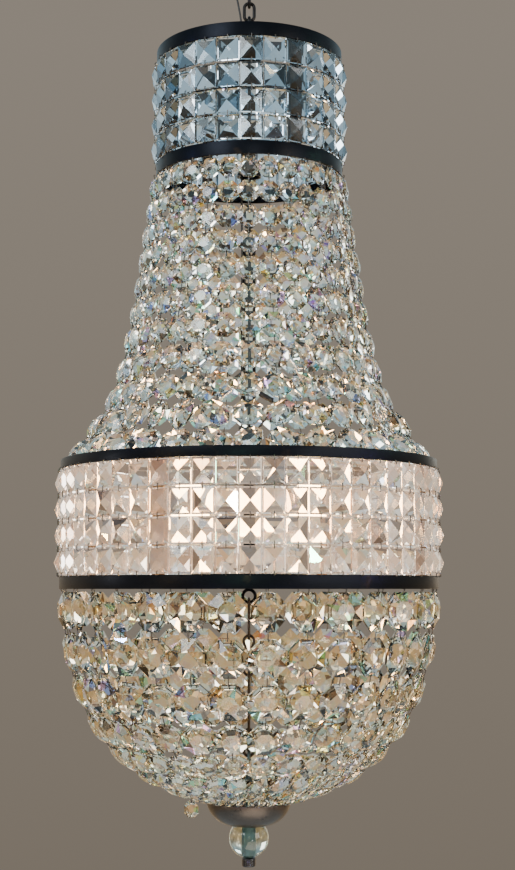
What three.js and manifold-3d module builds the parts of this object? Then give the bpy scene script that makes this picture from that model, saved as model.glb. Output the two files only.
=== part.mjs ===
// A hanging basket chandelier: a crown of square crystals, a flared neck of bead strands,
// a lit drum of square crystals and a bead basket that ends in a dish, a ball and a nut.
// Millimetres, +Z up. The origin is the middle of the ceiling rose's flat top face.

import * as THREE from "three";
import { mergeVertices } from "three/addons/utils/BufferGeometryUtils.js";
import Module from "manifold-3d";

const wasm = await Module();
wasm.setup();

// ---------------------------------------------------------------- driving dimensions

const GAP = 0.3;                    // between pieces that rest on each other

const ROSE_RADIUS = 45;
const ROSE_HEIGHT = 18;
const LINK_WIRE = 3.5;              // diameter of the chain's wire
const LINK_WIDTH = 14;
const LINK_PITCH = 15.5;
const LINK_JOIN = 0.3;              // the fixed links touch this deep, so they hold together
const LOOP_RADIUS = 8;              // the rose's loop, to the middle of its wire

const CORD_DIAMETER = 2;
const CORD_LEFT = 7.7;              // from the chain's axis
const CORD_FORWARD = 3;
const GROMMET_OFFSET = 16;          // the hole in the rose that the cord goes up through
const GROMMET_BORE = 15;
const GROMMET_WALL = 2;
const GRIP_RADIUS = 3;              // the small gland where the cord enters the hub
const GRIP_HEIGHT = 10;

const HEADROOM = 88;                // from the rose's underside to the crown
const CROWN_RADIUS = 97.8;
const CROWN_HEIGHT = 135.4;
const CROWN_BAND_HEIGHT = 14;
const CROWN_COLUMNS = 26;
const CROWN_ROWS = 4;
const CROWN_STONE = 24;             // height of one square stone

const NECK_HEIGHT = 298.6;
const DRUM_RADIUS = 193;
const DRUM_HEIGHT = 130;
const DRUM_TOP_BAND_HEIGHT = 10;
const DRUM_BOTTOM_BAND_HEIGHT = 13;
const DRUM_COLUMNS = 56;
const DRUM_ROWS = 4;
const DRUM_STONE = 22;
const STONE_RISE = 5;               // from a stone's square base to its point
const STONE_BACK = 3;               // from that base to the stone's flat back
const STONE_BASE_STEP = 0.5;        // the base stands this far outside the band
const WALL_END = 3.5;               // from a wall's last row to the band's edge
const PIN_DEPTH = 1.2;              // the pins between stones lie this far behind the base

const SECTIONS = 4;                 // quarters of the beadwork, one solid each
const NECK_BEAD = 22;
const BASKET_BEAD = 34;
const BEAD_THICKNESS = 8;
const NECK_TAPER = 42.7;            // how far the strands lean out before their last flare
const NECK_STEPS = 7;
const BASKET_STEPS = 8;
const BASKET_DEPTH = 213.5;

const STRAP_WIDTH = 12;
const STRAP_THICKNESS = 2.5;
const BAR_WIDTH = 14;
const BAR_THICKNESS = 3;
const HUB_RADIUS = 12;
const HUB_HEIGHT = 25;
const TUBE_RADIUS = 6.35;
const EYE_RADIUS = 6.5;             // eyes and hooks, to the middle of their wire
const EYE_WIRE = 3.4;

const LAMP_COUNT = 4;
const LAMP_CIRCLE = 85;
const LAMP_ARM_HEIGHT = 18;         // above the drum's lower edge
const LAMP_ARM_WIRE = 7;
const HOLDER_RADIUS = 11;
const HOLDER_HEIGHT = 30;
const BULB_BASE_RADIUS = 6.8;
const BULB_BASE_HEIGHT = 20;
const BULB_GLASS_RADIUS = 17.5;
const BULB_GLASS_HEIGHT = 68;

const DISH_RADIUS = 42.5;
const DISH_DEPTH = 23;
const DISH_WALL = 1.6;
const BALL_DIAMETER = 40;
const BALL_SEAT_RADIUS = 16;        // the hole in the dish that the ball is drawn up into
const ROD_DIAMETER = 8;
const NUT_DIAMETER = 13.7;
const NUT_HEIGHT = 8.5;
const NUT_FLOOR = 2;
const LOOSE_BEAD = 14;
const LOOSE_BEAD_RADIUS = 88;       // where its pin hangs, from the axis
const LOOSE_BEAD_STRAND = 3.45;     // strands to the left of the front
const LOOSE_PIN_LENGTH = 4;
const LOOSE_PIN_WIRE = 1.4;

// ---------------------------------------------------------------- heights above the drum

const DROP = ROSE_HEIGHT + HEADROOM + CROWN_HEIGHT + NECK_HEIGHT + DRUM_HEIGHT;
const roseBottom = DROP - ROSE_HEIGHT;
const neckBottom = DRUM_HEIGHT;
const neckTop = neckBottom + NECK_HEIGHT;
const crownTop = neckTop + CROWN_HEIGHT;
const dishRim = -BASKET_DEPTH;

// ---------------------------------------------------------------- materials

const finish = (color, roughness, metalness) => ({ color, roughness, metalness });
const BRONZE = finish(0x1c1a1d, 0.42, 0.85);
const CHAIN_BRONZE = finish(0x2a2622, 0.5, 0.85);
const CRYSTAL = finish(0xd9e2e6, 0.06, 0.0);
const LAMP_GLASS = finish(0xffe2b8, 0.2, 0.0);
const CANDLE_TUBE = finish(0xe8dfc8, 0.55, 0.0);
const CORD_SLEEVE = finish(0x151515, 0.6, 0.0);
const BLACK_NUT = finish(0x0b0b0d, 0.35, 0.6);

const chandelier = new THREE.Group();
chandelier.position.z = -DROP;

// ---------------------------------------------------------------- geometry helpers

function signedVolume(geometry) {
  const p = geometry.getAttribute("position");
  const index = geometry.getIndex();
  const corner = (i) => new THREE.Vector3().fromBufferAttribute(p, index.getX(i));
  let sum = 0;
  for (let i = 0; i < index.count; i += 3) {
    sum += corner(i).dot(corner(i + 1).cross(corner(i + 2)));
  }
  return sum / 6;
}

// Merges a closed shape's shared corners and turns its faces outwards.
function closed(geometry) {
  const bare = geometry.clone();
  bare.deleteAttribute("normal");
  bare.deleteAttribute("uv");
  const merged = mergeVertices(bare, 1e-4);
  const source = merged.getIndex();
  const kept = [];
  for (let i = 0; i < source.count; i += 3) {
    const t = [source.getX(i), source.getX(i + 1), source.getX(i + 2)];
    if (t[0] !== t[1] && t[1] !== t[2] && t[2] !== t[0]) kept.push(t);
  }
  merged.setIndex(kept.flat());
  if (signedVolume(merged) < 0) {
    merged.setIndex(kept.flatMap(([a, b, c]) => [a, c, b]));
  }
  return merged;
}

function solidOf(geometry) {
  const shape = closed(geometry);
  return new wasm.Manifold(new wasm.Mesh({
    numProp: 3,
    vertProperties: new Float32Array(shape.getAttribute("position").array),
    triVerts: new Uint32Array(shape.getIndex().array),
  }));
}

function geometryOf(solid) {
  const mesh = solid.getMesh();
  const geometry = new THREE.BufferGeometry();
  geometry.setAttribute("position", new THREE.BufferAttribute(mesh.vertProperties, 3));
  geometry.setIndex(new THREE.BufferAttribute(mesh.triVerts, 1));
  return geometry;
}

function join(...geometries) {
  return geometryOf(geometries.map(solidOf).reduce((sum, next) => sum.add(next)));
}

function cut(geometry, ...tools) {
  return geometryOf(tools.map(solidOf).reduce((rest, tool) => rest.subtract(tool), solidOf(geometry)));
}

function add(name, geometry, { color, roughness, metalness }, angle = 0) {
  const material = new THREE.MeshStandardMaterial({ color, roughness, metalness });
  const mesh = new THREE.Mesh(closed(geometry), material);
  mesh.name = name;
  mesh.rotation.z = angle;
  chandelier.add(mesh);
}

// Turns a profile of [radius, height] points about the vertical axis. With flats, the
// radii are those of the flat sides, and one flat faces the front.
function turned(profile, segments, flats = false) {
  const grow = flats ? 1 / Math.cos(Math.PI / segments) : 1;
  const points = profile.map(([r, z]) => new THREE.Vector2(r * grow, z));
  const start = flats ? Math.PI / segments : 0;
  return new THREE.LatheGeometry(points, segments, start, 2 * Math.PI).rotateX(Math.PI / 2);
}

function ringProfile(inner, outer, low, high) {
  return [[inner, low], [outer, low], [outer, high], [inner, high], [inner, low]];
}

function upright(radius, low, high, sides = 16) {
  const shape = new THREE.CylinderGeometry(radius, radius, high - low, sides);
  return shape.rotateX(Math.PI / 2).translate(0, 0, (low + high) / 2);
}

function box(width, depth, height, x, y, z) {
  return new THREE.BoxGeometry(width, depth, height).translate(x, y, z);
}

function tubeAlong(points, diameter, sides, steps) {
  const section = new THREE.Shape();
  for (let i = 0; i < sides; i += 1) {
    const a = (2 * Math.PI * i) / sides;
    const corner = [Math.cos(a) * diameter / 2, Math.sin(a) * diameter / 2];
    if (i === 0) section.moveTo(...corner);
    else section.lineTo(...corner);
  }
  const path = new THREE.CatmullRomCurve3(points.map((p) => new THREE.Vector3(...p)));
  return new THREE.ExtrudeGeometry(section, { steps, extrudePath: path, bevelEnabled: false });
}

// A ring of wire standing on edge in the XZ plane. The stretch makes it a long link.
function wireRing(radius, wire, stretch = 0, segments = 8, sides = 6) {
  const half = Math.PI / segments;
  const ring = new THREE.TorusGeometry(radius / Math.cos(half), wire / 2, sides, segments);
  ring.rotateZ(half);
  const p = ring.getAttribute("position");
  for (let i = 0; i < p.count; i += 1) {
    p.setY(i, p.getY(i) + Math.sign(p.getY(i)) * stretch / 2);
  }
  return ring.rotateX(Math.PI / 2);
}

// ---------------------------------------------------------------- suspension

const linkRadius = (LINK_WIDTH - LINK_WIRE) / 2;
const linkStretch = LINK_PITCH + LINK_WIRE - 2 * linkRadius;
const linkHalf = linkRadius + linkStretch / 2;      // to the middle of the end's wire
const hang = LINK_WIRE + GAP;                       // between the wires of two free links
const loopCentre = roseBottom - LOOP_RADIUS - LINK_WIRE;
const pivotTop = loopCentre - LOOP_RADIUS;
const topLinkCentre = pivotTop + hang - linkHalf;
const pivotLower = topLinkCentre - linkHalf;
const chainTop = pivotLower + hang - linkHalf;      // middle of the chain's first link

function makeRose() {
  const edge = 4;
  const dome = [
    [0, roseBottom],
    [ROSE_RADIUS * 0.55, roseBottom],
    [ROSE_RADIUS - edge, DROP - ROSE_HEIGHT * 0.55],
    [ROSE_RADIUS, DROP - edge],
    [ROSE_RADIUS, DROP],
    [0, DROP],
  ];
  const hole = upright(GROMMET_BORE / 2 + GROMMET_WALL + GAP, roseBottom - 1, DROP - edge)
    .translate(-GROMMET_OFFSET, -CORD_FORWARD, 0);
  add("ceiling_rose", cut(turned(dome, 40), hole), BRONZE);

  const grommet = ringProfile(GROMMET_BORE / 2, GROMMET_BORE / 2 + GROMMET_WALL,
    roseBottom, DROP - edge - GAP);
  const bush = turned(grommet, 16).translate(-GROMMET_OFFSET, -CORD_FORWARD, 0);
  add("cord_grommet", bush, CORD_SLEEVE);

  const stem = upright(LINK_WIRE, loopCentre + LOOP_RADIUS, roseBottom - GAP, 8);
  const loop = wireRing(LOOP_RADIUS, LINK_WIRE, 0, 16, 8).translate(0, 0, loopCentre);
  add("ceiling_loop", join(stem, loop), BRONZE);
}

function chainLink() {
  return wireRing(linkRadius, LINK_WIRE, linkStretch, 8, 4);
}

const ringDepth = (LINK_WIRE / 2) * Math.cos(Math.PI / 8);    // half the wire of a facetted link
const topEyeCentre = DRUM_HEIGHT + HUB_HEIGHT + 12;
const topEyeSeat = topEyeCentre + EYE_RADIUS;                 // the top eye's upper wire
const lastLinkCentre = topEyeSeat + linkHalf - ringDepth - EYE_WIRE / 2 - GAP;
const chainLength = chainTop - lastLinkCentre;
const chainSteps = Math.floor(chainLength / (2 * (linkHalf - ringDepth) + LINK_JOIN));
const chainPitch = chainLength / chainSteps;

function makeSuspension() {
  makeRose();
  const free = wireRing(linkRadius, LINK_WIRE, linkStretch, 12, 8).rotateZ(Math.PI / 2);
  add("chain_top_link", free.translate(0, 0, topLinkCentre), CHAIN_BRONZE);

  const links = [];
  for (let i = 0; i <= chainSteps; i += 1) {
    const turn = i % 2 === 0 ? 0 : Math.PI / 2;
    links.push(chainLink().rotateZ(turn).translate(0, 0, chainTop - i * chainPitch));
  }
  add("suspension_chain", join(...links), CHAIN_BRONZE);
}

// The cord's route, chosen point by point: out of the grommet, down beside the chain and
// into the hub's gland. It is all but straight, because the lamp's weight hangs beside it.
const CORD_ROUTE = [
  [-16, -3, 654.5],
  [-16, -3, 646],
  [-14.4, -3, 632],
  [-11.2, -3, 616],
  [-8.7, -3, 600],
  [-7.7, -3, 580],
  [-7.7, -3, 540],
  [-7.5, -3, 500],
  [-7.7, -3, 460],
  [-7.9, -3, 420],
  [-7.7, -3, 380],
  [-7.5, -3, 340],
  [-7.7, -3, 300],
  [-7.9, -3, 260],
  [-7.7, -3, 220],
  [-7.7, -3, 180],
  [-7.7, -3, 161],
];

function makeCord() {
  add("supply_cord", tubeAlong(CORD_ROUTE, CORD_DIAMETER, 8, 40), CORD_SLEEVE);
}

// ---------------------------------------------------------------- bands, straps and bars

const CROWN_FACETS = 48;
const DRUM_FACETS = 56;

function makeBand(name, radius, low, height, facets) {
  const profile = ringProfile(radius - STRAP_THICKNESS, radius, low, low + height);
  add(name, turned(profile, facets, true), BRONZE);
}

// Upright straps inside the wall of stones, each on the middle of one of the bands' flats.
function makeStraps(prefix, radius, low, high, facets, firstFacet) {
  for (let i = 0; i < 4; i += 1) {
    const facet = firstFacet + (i * facets) / 4;
    const angle = (2 * Math.PI * facet) / facets - Math.PI / 2;
    const seat = radius - STRAP_THICKNESS - GAP;
    const strap = box(STRAP_THICKNESS, STRAP_WIDTH, high - low,
      seat - STRAP_THICKNESS / 2, 0, (low + high) / 2);
    add(`${prefix}_strap_${i + 1}`, strap, BRONZE, angle);
  }
}

const collarInner = CORD_LEFT + CORD_DIAMETER + 0.6;
const collarOuter = collarInner + 2.5;

// A bar across the crown, front to back, with a collar that the chain and cord pass through.
function makeCrownBar(name, low, collarHigh) {
  const length = 2 * (CROWN_RADIUS - STRAP_THICKNESS - GAP);
  const bar = box(BAR_WIDTH, length, BAR_THICKNESS, 0, 0, low + BAR_THICKNESS / 2);
  const collar = upright(collarOuter, low, collarHigh, 24);
  const bore = upright(collarInner, low - 1, collarHigh + 1, 24);
  add(name, cut(join(bar, collar), bore), BRONZE);
}

const crownBarLow = crownTop - CROWN_BAND_HEIGHT + BAR_THICKNESS;
const PIN_RADIUS = 1.5;
const hangerStep = Math.floor((chainTop - crownBarLow - BAR_THICKNESS - 2 * PIN_RADIUS) / chainPitch);
const hangerHeight = chainTop - hangerStep * chainPitch;

function makeCrownFrame() {
  const facets = CROWN_FACETS;
  makeBand("crown_top_band", CROWN_RADIUS, crownTop - CROWN_BAND_HEIGHT, CROWN_BAND_HEIGHT, facets);
  makeBand("crown_bottom_band", CROWN_RADIUS, neckTop, CROWN_BAND_HEIGHT, facets);
  makeStraps("crown", CROWN_RADIUS, neckTop + GAP, crownTop - GAP, facets, 4);
  makeCrownBar("crown_top_bar", crownBarLow, hangerHeight - PIN_RADIUS - GAP);
  makeCrownBar("crown_bottom_bar", neckTop + BAR_THICKNESS, neckTop + 3 * BAR_THICKNESS);

  // The pin goes through a link, across its opening, and lies on the collar.
  const pin = upright(PIN_RADIUS, -collarOuter, collarOuter, 12).rotateX(Math.PI / 2);
  const turn = hangerStep % 2 === 0 ? 0 : Math.PI / 2;
  add("crown_hanger_pin", pin.rotateZ(turn).translate(0, 0, hangerHeight), BRONZE);
}

function makeSpider(name, low) {
  const reach = DRUM_RADIUS - STRAP_THICKNESS - GAP;
  const hub = upright(HUB_RADIUS + 2, low, low + BAR_THICKNESS, 24);
  const along = box(2 * reach, BAR_WIDTH, BAR_THICKNESS, 0, 0, low + BAR_THICKNESS / 2);
  const across = box(BAR_WIDTH, 2 * reach, BAR_THICKNESS, 0, 0, low + BAR_THICKNESS / 2);
  add(name, join(hub, along, across), BRONZE);
}

const topSpiderLow = DRUM_HEIGHT - DRUM_TOP_BAND_HEIGHT + BAR_THICKNESS;
const bottomSpiderLow = BAR_THICKNESS;
const topSpiderHigh = topSpiderLow + BAR_THICKNESS;

function makeDrumFrame() {
  const facets = DRUM_FACETS;
  const topLow = DRUM_HEIGHT - DRUM_TOP_BAND_HEIGHT;
  makeBand("drum_top_band", DRUM_RADIUS, topLow, DRUM_TOP_BAND_HEIGHT, facets);
  makeBand("drum_bottom_band", DRUM_RADIUS, 0, DRUM_BOTTOM_BAND_HEIGHT, facets);
  makeStraps("drum", DRUM_RADIUS, GAP, DRUM_HEIGHT - GAP, facets, -4);
  makeSpider("drum_top_spider", topSpiderLow);
  makeSpider("drum_bottom_spider", bottomSpiderLow);
}

// ---------------------------------------------------------------- walls of square stones

// One section of a wall of square stones: every stone is a low pyramid on a square base,
// and where the pins join the rows, a groove lies back between the bases.
function stoneWall({ radius, columns, first, count, low, high, rows, stone }) {
  const corners = [];
  const step = (2 * Math.PI) / columns;
  const spread = 1 / Math.cos(step / 2);
  const clear = GAP / 2 / radius;
  const angleAt = (j) => {
    const inset = j === 0 ? clear : j === count ? -clear : 0;
    return (first + j) * step - Math.PI / 2 + inset;
  };
  const at = (r, j, z) => [r * spread * Math.cos(angleAt(j)), r * spread * Math.sin(angleAt(j)), z];
  const quad = (a, b, c, d) => corners.push(a, b, c, a, c, d);

  const base = radius + STONE_BASE_STEP;
  const web = base - PIN_DEPTH;
  const back = base - STONE_BACK;
  const pitch = (high - low - stone) / (rows - 1) - (2 * WALL_END) / (rows - 1);
  const profile = [[web, low]];
  for (let row = 0; row < rows; row += 1) {
    const z = low + WALL_END + row * pitch;
    profile.push([base, z], [base, z + stone]);
    profile.push([web, row < rows - 1 ? z + (stone + pitch) / 2 : high]);
  }

  for (let j = 0; j < count; j += 1) {
    const middle = (angleAt(j) + angleAt(j + 1)) / 2;
    profile.slice(1).forEach(([r1, z1], k) => {
      const [r0, z0] = profile[k];
      const face = [at(r0, j, z0), at(r0, j + 1, z0), at(r1, j + 1, z1), at(r1, j, z1)];
      if (r0 !== base || r1 !== base) {
        quad(...face);
        return;
      }
      const point = base + STONE_RISE;
      const tip = [point * Math.cos(middle), point * Math.sin(middle), (z0 + z1) / 2];
      face.forEach((corner, i) => corners.push(corner, face[(i + 1) % 4], tip));
    });
    quad(at(back, j + 1, low), at(back, j, low), at(back, j, high), at(back, j + 1, high));
    quad(at(back, j, low), at(back, j + 1, low), at(web, j + 1, low), at(web, j, low));
    quad(at(web, j, high), at(web, j + 1, high), at(back, j + 1, high), at(back, j, high));
  }

  const outline = [...profile, [back, high], [back, low]].map(([r, z]) => new THREE.Vector2(r, z));
  const faces = THREE.ShapeUtils.triangulateShape(outline, []);
  const clockwise = THREE.ShapeUtils.isClockWise(outline);
  faces.forEach((face) => {
    const startSide = face.map((i) => at(outline[i].x, 0, outline[i].y));
    const endSide = face.map((i) => at(outline[i].x, count, outline[i].y));
    corners.push(...(clockwise ? startSide.reverse() : startSide));
    corners.push(...(clockwise ? endSide : endSide.reverse()));
  });

  const geometry = new THREE.BufferGeometry();
  geometry.setAttribute("position", new THREE.Float32BufferAttribute(corners.flat(), 3));
  return geometry;
}

function makeStones() {
  for (let half = 0; half < 2; half += 1) {
    add(`crown_stones_${half + 1}`, stoneWall({
      radius: CROWN_RADIUS,
      columns: CROWN_COLUMNS,
      first: (half * CROWN_COLUMNS) / 2,
      count: CROWN_COLUMNS / 2,
      low: neckTop + CROWN_BAND_HEIGHT + GAP,
      high: crownTop - CROWN_BAND_HEIGHT - GAP,
      rows: CROWN_ROWS,
      stone: CROWN_STONE,
    }), CRYSTAL);
    add(`drum_stones_${half + 1}`, stoneWall({
      radius: DRUM_RADIUS,
      columns: DRUM_COLUMNS,
      first: (half * DRUM_COLUMNS) / 2,
      count: DRUM_COLUMNS / 2,
      low: DRUM_BOTTOM_BAND_HEIGHT + GAP,
      high: DRUM_HEIGHT - DRUM_TOP_BAND_HEIGHT - GAP,
      rows: DRUM_ROWS,
      stone: DRUM_STONE,
    }), CRYSTAL);
  }
}

// ---------------------------------------------------------------- bead strands

// Radius of the neck's strands at a share of the way down from the crown.
function neckRadius(share) {
  const start = CROWN_RADIUS + STONE_RISE;
  const flare = DRUM_RADIUS - STRAP_THICKNESS / 2 - start - NECK_TAPER;
  return start + NECK_TAPER * share + flare * share ** 6;
}

// The neck's stations lie closer together towards the drum, where the strands bend most.
const neckSpread = (t) => 1 - (1 - t) ** 1.2;

// There are enough strands that the beads meet at the neck's first two stations.
const girth = 2 * Math.PI * neckRadius(neckSpread(1 / NECK_STEPS));
const STRANDS_PER_SECTION = Math.ceil(girth / (SECTIONS * NECK_BEAD));
const STRANDS = SECTIONS * STRANDS_PER_SECTION;

const BASKET_POWER = 2.35;
const rimShare = (1 - (DISH_RADIUS / DRUM_RADIUS) ** BASKET_POWER) ** (1 / BASKET_POWER);

// Radius of the basket's strands at a share of the way down from the drum.
function basketRadius(share) {
  return DRUM_RADIUS * (1 - (rimShare * share) ** BASKET_POWER) ** (1 / BASKET_POWER);
}

// One section of strands. Each strand is a bent bar as wide as its beads, and where the
// beads of neighbouring strands meet, the bars share their edge and become one sheet.
function strandSection(stations, bead, low, high) {
  const corners = [];
  const step = (2 * Math.PI) / STRANDS;
  const quad = (a, b, c, d) => corners.push(a, b, c, a, c, d);
  const rows = stations.map(([r, z], i) => {
    const before = stations[Math.max(i - 1, 0)];
    const after = stations[Math.min(i + 1, stations.length - 1)];
    const run = new THREE.Vector2(after[0] - before[0], after[1] - before[1]).normalize();
    const drop = i === 0 ? 0 : run.x * BEAD_THICKNESS;
    const back = THREE.MathUtils.clamp(z - drop, low, high);
    return { r, z, inner: r + run.y * BEAD_THICKNESS, back, half: Math.min(bead / 2 / r, step / 2) };
  });
  const meets = (row) => row.half === step / 2;
  for (let s = 0; s < STRANDS_PER_SECTION; s += 1) {
    const first = s === 0;
    const last = s === STRANDS_PER_SECTION - 1;
    const corner = (row, side, back) => {
      const atEdge = side < 0 ? first : last;
      const inset = atEdge && meets(row) ? GAP / 2 / row.inner : 0;
      const angle = s * step + side * (row.half - inset);
      const radius = back ? row.inner : row.r;
      return [radius * Math.cos(angle), radius * Math.sin(angle), back ? row.back : row.z];
    };
    const ring = (row) => [
      corner(row, -1, false), corner(row, 1, false), corner(row, 1, true), corner(row, -1, true),
    ];
    rows.slice(1).forEach((row, i) => {
      const above = ring(rows[i]);
      const below = ring(row);
      const shared = meets(row) && meets(rows[i]);
      quad(above[0], below[0], below[1], above[1]);
      quad(above[2], below[2], below[3], above[3]);
      if (!shared || last) quad(above[1], below[1], below[2], above[2]);
      if (!shared || first) quad(above[3], below[3], below[0], above[0]);
    });
    quad(...ring(rows[0]));
    quad(...ring(rows[rows.length - 1]).reverse());
  }
  const geometry = new THREE.BufferGeometry();
  geometry.setAttribute("position", new THREE.Float32BufferAttribute(corners.flat(), 3));
  return geometry;
}

function makeStrands(prefix, stations, bead, shift) {
  const step = (2 * Math.PI) / STRANDS;
  const heights = stations.map(([, z]) => z);
  const low = Math.min(...heights);
  const high = Math.max(...heights);
  for (let section = 0; section < SECTIONS; section += 1) {
    const turn = (section * STRANDS_PER_SECTION + shift) * step - Math.PI / 2;
    const shape = strandSection(stations, bead, low, high);
    add(`${prefix}_strands_${section + 1}`, shape, CRYSTAL, turn);
  }
}

function stationsBetween(top, bottom, steps, radiusAt, spread) {
  const stations = [];
  for (let i = 0; i <= steps; i += 1) {
    const share = spread(i / steps);
    stations.push([radiusAt(share), top + (bottom - top) * share]);
  }
  return stations;
}

function makeBeadwork() {
  const neck = stationsBetween(neckTop - GAP, neckBottom + GAP, NECK_STEPS, neckRadius, neckSpread);
  makeStrands("neck", neck, NECK_BEAD, 0);
  const basket = stationsBetween(-GAP, dishRim, BASKET_STEPS, basketRadius,
    (t) => Math.sin((t * Math.PI) / 2));
  makeStrands("basket", basket, BASKET_BEAD, 0.5);
}

// ---------------------------------------------------------------- hub and lamps

const hubLow = topSpiderHigh + GAP;
const hubHigh = topEyeCentre - EYE_RADIUS - EYE_WIRE;

function makeHub() {
  const cup = [
    [0, hubLow],
    [HUB_RADIUS * 0.7, hubLow],
    [HUB_RADIUS, hubLow + HUB_HEIGHT * 0.3],
    [HUB_RADIUS, hubHigh],
    [0, hubHigh],
  ];
  add("hub_cup", turned(cup, 24), BRONZE);

  const stem = upright(EYE_WIRE, hubHigh + GAP, topEyeCentre - EYE_RADIUS + EYE_WIRE / 4, 8);
  const eye = wireRing(EYE_RADIUS, EYE_WIRE, 0, 12, 8).translate(0, 0, topEyeCentre);
  const chainEnd = chainSteps % 2 === 0 ? Math.PI / 2 : 0;
  add("hub_top_eye", join(stem, eye.rotateZ(chainEnd)), BRONZE);

  const bore = CORD_DIAMETER / 2 + GAP;
  const grip = turned(ringProfile(bore, GRIP_RADIUS, hubHigh + GAP, hubHigh + GRIP_HEIGHT), 12);
  add("cord_grip", grip.translate(-CORD_LEFT, -CORD_FORWARD, 0), CORD_SLEEVE);

  const tube = upright(TUBE_RADIUS, bottomSpiderLow + BAR_THICKNESS + GAP, topSpiderLow - GAP, 20);
  add("centre_tube", tube, BRONZE);
}

// The splice in the lamp leads: a short lead out of the hub's top that ends in a closed sleeve.
function makeSplice() {
  const low = hubHigh + 2 * GAP;
  const route = [
    [HUB_RADIUS - 4, 3, low],
    [HUB_RADIUS - 2.5, 3, low + 5],
    [HUB_RADIUS + 6, 2, low + 15],
    [HUB_RADIUS + 15, 0, low + 24],
    [HUB_RADIUS + 16, 0, low + 32],
    [HUB_RADIUS + 11, 0, low + 37.5],
  ];
  const lead = tubeAlong(route, 2.2, 6, 14);
  const sleeve = upright(2.8, 0, 16, 12).rotateY(-Math.PI / 3);
  const end = route[route.length - 1];
  const place = sleeve.translate(end[0] + 1.5, 0, end[2] - 1);
  add("splice_sleeve", join(lead, place), CORD_SLEEVE);
}

const armTop = LAMP_ARM_HEIGHT + LAMP_ARM_WIRE;
const holderLow = armTop + GAP;
const holderHigh = holderLow + HOLDER_HEIGHT;
const bulbLow = holderHigh - BULB_BASE_HEIGHT;

function makeLamps() {
  const hubRing = turned(ringProfile(TUBE_RADIUS + GAP, HUB_RADIUS + 2,
    LAMP_ARM_HEIGHT - LAMP_ARM_WIRE, LAMP_ARM_HEIGHT + LAMP_ARM_WIRE), 24);
  const arms = [];
  for (let i = 0; i < LAMP_COUNT; i += 1) {
    const angle = (2 * Math.PI * (i + 0.5)) / LAMP_COUNT;
    const arm = upright(LAMP_ARM_WIRE / 2, 0, LAMP_CIRCLE - HUB_RADIUS, 8).rotateY(Math.PI / 2);
    const plate = upright(HOLDER_RADIUS - 2, LAMP_ARM_HEIGHT - LAMP_ARM_WIRE / 2, armTop, 16);
    arms.push(arm.translate(HUB_RADIUS, 0, LAMP_ARM_HEIGHT).rotateZ(angle));
    arms.push(plate.translate(LAMP_CIRCLE, 0, 0).rotateZ(angle));
  }
  add("lamp_spider", join(hubRing, ...arms), BRONZE);

  for (let i = 0; i < LAMP_COUNT; i += 1) {
    const angle = (2 * Math.PI * (i + 0.5)) / LAMP_COUNT;
    const bore = BULB_BASE_RADIUS + GAP;
    const cup = [
      [0, holderLow],
      [HOLDER_RADIUS, holderLow],
      [HOLDER_RADIUS, holderHigh],
      [bore, holderHigh],
      [bore, bulbLow - GAP],
      [0, bulbLow - GAP],
    ];
    const holder = turned(cup, 20).translate(LAMP_CIRCLE, 0, 0);
    add(`lamp_holder_${i + 1}`, holder, CANDLE_TUBE, angle);

    const glassLow = holderHigh + 2 * GAP;
    const rise = (share) => glassLow + BULB_GLASS_HEIGHT * share;
    const bulb = [
      [0, bulbLow],
      [BULB_BASE_RADIUS, bulbLow],
      [BULB_BASE_RADIUS, glassLow],
      [BULB_GLASS_RADIUS * 0.65, rise(0.06)],
      [BULB_GLASS_RADIUS, rise(0.33)],
      [BULB_GLASS_RADIUS * 0.86, rise(0.55)],
      [BULB_GLASS_RADIUS * 0.42, rise(0.83)],
      [0, rise(1)],
    ];
    add(`bulb_${i + 1}`, turned(bulb, 16).translate(LAMP_CIRCLE, 0, 0), LAMP_GLASS, angle);
  }
}

// ---------------------------------------------------------------- stay, dish and finial

const lowEyeCentre = bottomSpiderLow - GAP - EYE_RADIUS - EYE_WIRE;
const stayHang = EYE_WIRE + GAP;
const rodHole = ROD_DIAMETER / 2 + GAP;
const ballRadius = BALL_DIAMETER / 2;
const ballFlat = Math.sqrt(ballRadius ** 2 - rodHole ** 2);   // from its middle to the bore's mouth
const dishFloor = dishRim - GAP - DISH_DEPTH;
const ballCentre = dishFloor - Math.sqrt((ballRadius + GAP) ** 2 - BALL_SEAT_RADIUS ** 2);
const nutHigh = ballCentre - ballFlat - GAP;
const nutLow = nutHigh - NUT_HEIGHT;
const rodEyeCentre = dishRim + 42;

// Links of wire hang in each other from the hub's lower eye down to the rod's eye.
function makeStay() {
  const stem = upright(EYE_WIRE / 2, lowEyeCentre + EYE_RADIUS, bottomSpiderLow - GAP, 8);
  const eye = wireRing(EYE_RADIUS, EYE_WIRE, 0, 12, 8).translate(0, 0, lowEyeCentre);
  add("hub_bottom_eye", join(stem, eye), BRONZE);

  const top = lowEyeCentre - EYE_RADIUS + stayHang;
  const bottom = rodEyeCentre + EYE_RADIUS - stayHang;
  const shares = [0.24, 0.24, 0.36, 0.16];
  const names = ["stay_hook_1", "stay_link_1", "stay_link_2", "stay_hook_2"];
  const span = top - bottom + stayHang * (shares.length - 1);
  let high = top;
  shares.forEach((share, i) => {
    const length = span * share;
    const link = wireRing(EYE_RADIUS * 0.8, EYE_WIRE, length - EYE_RADIUS * 1.6, 8, 8);
    const turn = i % 2 === 0 ? Math.PI / 2 : 0;
    add(names[i], link.rotateZ(turn).translate(0, 0, high - length / 2), BRONZE);
    high = high - length + stayHang;
  });

  const ring = wireRing(EYE_RADIUS, EYE_WIRE, 0, 12, 8).rotateZ(Math.PI / 2);
  const rod = upright(ROD_DIAMETER / 2, nutLow + NUT_FLOOR + GAP, rodEyeCentre - EYE_RADIUS, 12);
  add("finial_rod", join(ring.translate(0, 0, rodEyeCentre), rod), BRONZE);
}

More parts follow.
